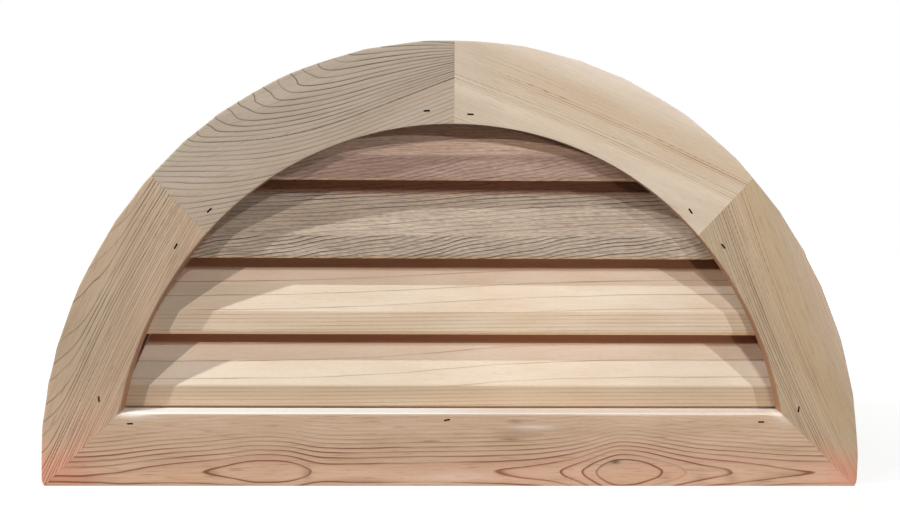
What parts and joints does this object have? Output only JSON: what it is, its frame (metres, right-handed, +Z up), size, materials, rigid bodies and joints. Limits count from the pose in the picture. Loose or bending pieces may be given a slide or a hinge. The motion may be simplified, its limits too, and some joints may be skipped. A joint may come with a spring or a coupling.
{
  "type": "half-round gable vent",
  "caption": "Half-round louvred cedar gable vent with mitred face boards, a jamb box and an insect screen.",
  "frame": {"origin": "on the wall face of the sill board, on the vent's centre line, midway up the bare part of that face below the jamb box", "axes": "+Z up, +Y into the wall, +X to the right seen from the front; the wall's surface is the plane y = 0"},
  "size_m": [0.9608, 0.0833, 0.5105],
  "materials": {
    "cedar_face": "unfinished, sanded",
    "cedar_louvre": "unfinished, rough sawn",
    "cedar_jamb": "unfinished, sanded",
    "galvanised_screen": "galvanised woven wire"
  },
  "bodies": {
    "root": {"face_sill": "cedar_face", "face_left_side": "cedar_face", "face_upper_left": "cedar_face", "face_upper_right": "cedar_face", "face_right_side": "cedar_face", "jamb_sill": "cedar_jamb", "jamb_left_side": "cedar_jamb", "jamb_upper_left": "cedar_jamb", "jamb_upper_right": "cedar_jamb", "jamb_right_side": "cedar_jamb", "louvre_bottom": "cedar_louvre", "louvre_lower": "cedar_louvre", "louvre_upper": "cedar_louvre", "louvre_top": "cedar_louvre", "insect_screen": "galvanised_screen"}
  },
  "joints": []
}
